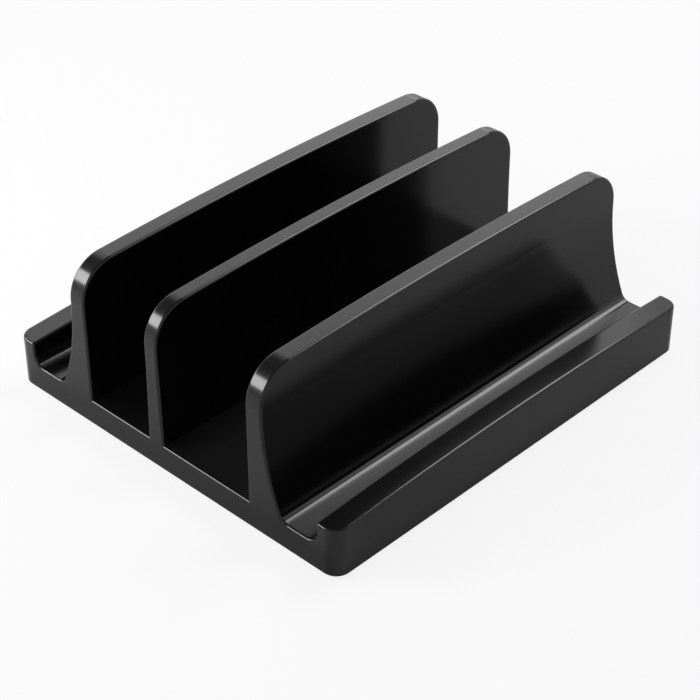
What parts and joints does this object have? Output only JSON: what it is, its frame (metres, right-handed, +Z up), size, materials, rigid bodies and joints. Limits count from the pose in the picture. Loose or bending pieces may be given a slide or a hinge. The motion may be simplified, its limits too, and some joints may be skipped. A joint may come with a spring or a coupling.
{
  "type": "vertical laptop stand",
  "caption": "Low black moulded stand with upright plates: slots between them hold closed laptops on edge, and a lipped groove along each side holds a phone or a tablet.",
  "frame": {"origin": "on the table, under the middle of the stand", "axes": "+Y along the slots and plates, +X across the plates towards the wide slot, +Z up"},
  "size_m": [0.1414, 0.16, 0.059],
  "materials": {
    "stand_body": "black ABS moulding, satin gloss",
    "foot_front_left": "soft matt anti-slip pad",
    "foot_front_right": "soft matt anti-slip pad",
    "foot_back_left": "soft matt anti-slip pad",
    "foot_back_right": "soft matt anti-slip pad"
  },
  "bodies": {
    "root": {"stand_body": "stand_body", "foot_front_left": "foot_front_left", "foot_front_right": "foot_front_right", "foot_back_left": "foot_back_left", "foot_back_right": "foot_back_right"}
  },
  "joints": []
}
